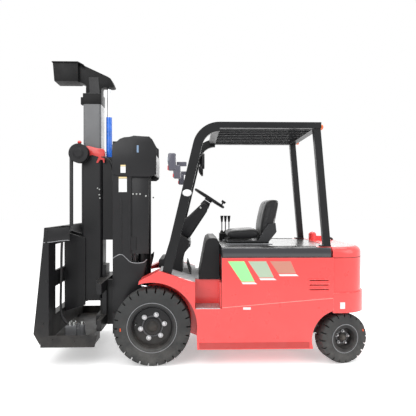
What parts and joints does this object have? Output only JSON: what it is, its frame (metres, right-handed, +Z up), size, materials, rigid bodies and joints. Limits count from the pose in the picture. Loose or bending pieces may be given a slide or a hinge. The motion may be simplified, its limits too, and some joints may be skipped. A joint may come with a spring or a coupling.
{
  "type": "electric forklift",
  "caption": "Red electric forklift with an overhead guard and a mast, and a tall column and wide platform frame on its carriage",
  "frame": {"origin": "centre of the bounding box, on the floor under the wheels", "axes": "X from nose to tail, Y from the truck's left side to its right side, Z up"},
  "size_m": [3.1, 1.2114, 2.93],
  "materials": {
    "body_red": "semi gloss red paint",
    "frame_black": "satin black paint",
    "plastic_black": "grained black plastic",
    "seat_vinyl": "soft grained vinyl",
    "tyre_rubber": "matt rubber",
    "hose_rubber": "satin rubber",
    "bare_steel": "machined steel",
    "rod_chrome": "polished",
    "column_grey": "satin grey paint",
    "floor_grey": "ribbed mat",
    "lamp_amber": "clear gloss",
    "wrap_blue": "protective wrap"
  },
  "bodies": {
    "chassis": {"chassis_frame": "body_red", "front_fenders": "body_red", "floor_plate": "floor_grey", "step_treads": "bare_steel", "drive_axle": "frame_black", "mast_hangers": "frame_black", "battery": "plastic_black", "side_panel_left": "body_red", "side_panel_right": "body_red", "seat_apron": "plastic_black", "counterweight": "body_red", "rear_grille": "plastic_black", "steer_axle": "frame_black", "overhead_guard": "frame_black", "head_lamps": "plastic_black", "mirrors": "plastic_black", "rear_lamps": "lamp_amber", "cowl": "plastic_black", "steering_column": "plastic_black", "pedals": "plastic_black", "battery_plug": "body_red"},
    "hood": {"hood": "plastic_black", "seat_base": "plastic_black", "seat_cushion": "seat_vinyl", "seat_back": "seat_vinyl", "control_levers": "plastic_black"},
    "steering_wheel": {"steering_wheel": "plastic_black"},
    "mast": {"outer_mast": "frame_black", "lift_barrels": "frame_black", "anchor_chains": "bare_steel"},
    "inner_mast": {"inner_mast": "frame_black", "lift_rods": "rod_chrome", "chain_pulleys": "bare_steel", "lift_chains": "bare_steel"},
    "carriage": {"carriage": "frame_black", "outer_column": "frame_black", "hose_tray": "frame_black", "hose_reel": "plastic_black", "reel_bracket": "body_red", "reel_hose": "hose_rubber", "column_ram": "wrap_blue"},
    "platform": {"platform_frame": "frame_black", "valve_block": "bare_steel"},
    "inner_column": {"inner_column": "column_grey", "top_arm": "frame_black", "ram_rod": "rod_chrome"},
    "tilt_barrel_left": {"tilt_barrel_left": "frame_black"},
    "tilt_barrel_right": {"tilt_barrel_right": "frame_black"},
    "tilt_rod_left": {"tilt_rod_left": "rod_chrome"},
    "tilt_rod_right": {"tilt_rod_right": "rod_chrome"},
    "knuckle_left": {"knuckle_left": "frame_black"},
    "knuckle_right": {"knuckle_right": "frame_black"},
    "front_wheel_left": {"front_tyre_left": "tyre_rubber", "front_rim_left": "frame_black"},
    "front_wheel_right": {"front_tyre_right": "tyre_rubber", "front_rim_right": "frame_black"},
    "rear_wheel_left": {"rear_tyre_left": "tyre_rubber", "rear_rim_left": "frame_black"},
    "rear_wheel_right": {"rear_tyre_right": "tyre_rubber", "rear_rim_right": "frame_black"}
  },
  "joints": [
    {"name": "mast_tilt", "type": "hinge", "parent": "chassis", "child": "mast", "pos_m": [-0.6, 0, 0.3], "axis": [0, 1, 0], "range_deg": [-6, 8]},
    {"name": "mast_lift", "type": "slide", "parent": "mast", "child": "inner_mast", "axis": [0, 0, 1], "range_m": [0, 1.35], "deforming": ["anchor_chains"]},
    {"name": "carriage_lift", "type": "slide", "parent": "inner_mast", "child": "carriage", "axis": [0, 0, 1], "range_m": [0, 1.35], "deforming": ["lift_chains"]},
    {"name": "column_extend", "type": "slide", "parent": "carriage", "child": "inner_column", "axis": [0, 0, 1], "range_m": [-0.26, 0.4]},
    {"name": "platform_lift", "type": "slide", "parent": "carriage", "child": "platform", "axis": [0, 0, 1], "range_m": [0, 0.28], "deforming": ["reel_hose"]},
    {"name": "hood_open", "type": "hinge", "parent": "chassis", "child": "hood", "pos_m": [1.19, 0, 1.075], "axis": [0, 1, 0], "range_deg": [0, 50]},
    {"name": "steering_turn", "type": "hinge", "parent": "chassis", "child": "steering_wheel", "pos_m": [0.08, 0, 1.54], "axis": [0.5446, 0, 0.8387], "continuous": true},
    {"name": "front_wheel_left_spin", "type": "hinge", "parent": "chassis", "child": "front_wheel_left", "pos_m": [-0.46, -0.486, 0.353], "axis": [0, 1, 0], "continuous": true},
    {"name": "steer_left", "type": "hinge", "parent": "chassis", "child": "knuckle_left", "pos_m": [1.28, -0.38, 0.231], "axis": [0, 0, 1], "range_deg": [-78, 52]},
    {"name": "rear_wheel_left_spin", "type": "hinge", "parent": "knuckle_left", "child": "rear_wheel_left", "pos_m": [1.3025, -0.47744, 0.231], "axis": [-0.225, 0.9744, 0], "continuous": true},
    {"name": "tilt_barrel_left_swing", "type": "hinge", "parent": "chassis", "child": "tilt_barrel_left", "pos_m": [-0.088, -0.306, 0.56], "axis": [0, 1, 0], "range_deg": [-1.5, 2]},
    {"name": "tilt_rod_left_slide", "type": "slide", "parent": "tilt_barrel_left", "child": "tilt_rod_left", "axis": [-0.973, 0, 0.2308], "range_m": [-0.054, 0.041]},
    {"name": "front_wheel_right_spin", "type": "hinge", "parent": "chassis", "child": "front_wheel_right", "pos_m": [-0.46, 0.486, 0.353], "axis": [0, 1, 0], "continuous": true},
    {"name": "steer_right", "type": "hinge", "parent": "chassis", "child": "knuckle_right", "pos_m": [1.28, 0.38, 0.231], "axis": [0, 0, 1], "range_deg": [-78, 52]},
    {"name": "rear_wheel_right_spin", "type": "hinge", "parent": "knuckle_right", "child": "rear_wheel_right", "pos_m": [1.2575, 0.47744, 0.231], "axis": [-0.225, 0.9744, 0], "continuous": true},
    {"name": "tilt_barrel_right_swing", "type": "hinge", "parent": "chassis", "child": "tilt_barrel_right", "pos_m": [-0.088, 0.306, 0.56], "axis": [0, 1, 0], "range_deg": [-1.5, 2]},
    {"name": "tilt_rod_right_slide", "type": "slide", "parent": "tilt_barrel_right", "child": "tilt_rod_right", "axis": [-0.973, 0, 0.2308], "range_m": [-0.054, 0.041]}
  ],
  "couplings": [
    {"joint": "carriage_lift", "follows": "mast_lift", "ratio": 1},
    {"joint": "steer_right", "follows": "steer_left", "ratio": 1},
    {"joint": "tilt_barrel_left_swing", "follows": "mast_tilt", "ratio": 0.215},
    {"joint": "tilt_rod_left_slide", "follows": "mast_tilt", "m_per_rad": -0.372},
    {"joint": "tilt_barrel_right_swing", "follows": "mast_tilt", "ratio": 0.215},
    {"joint": "tilt_rod_right_slide", "follows": "mast_tilt", "m_per_rad": -0.372}
  ]
}
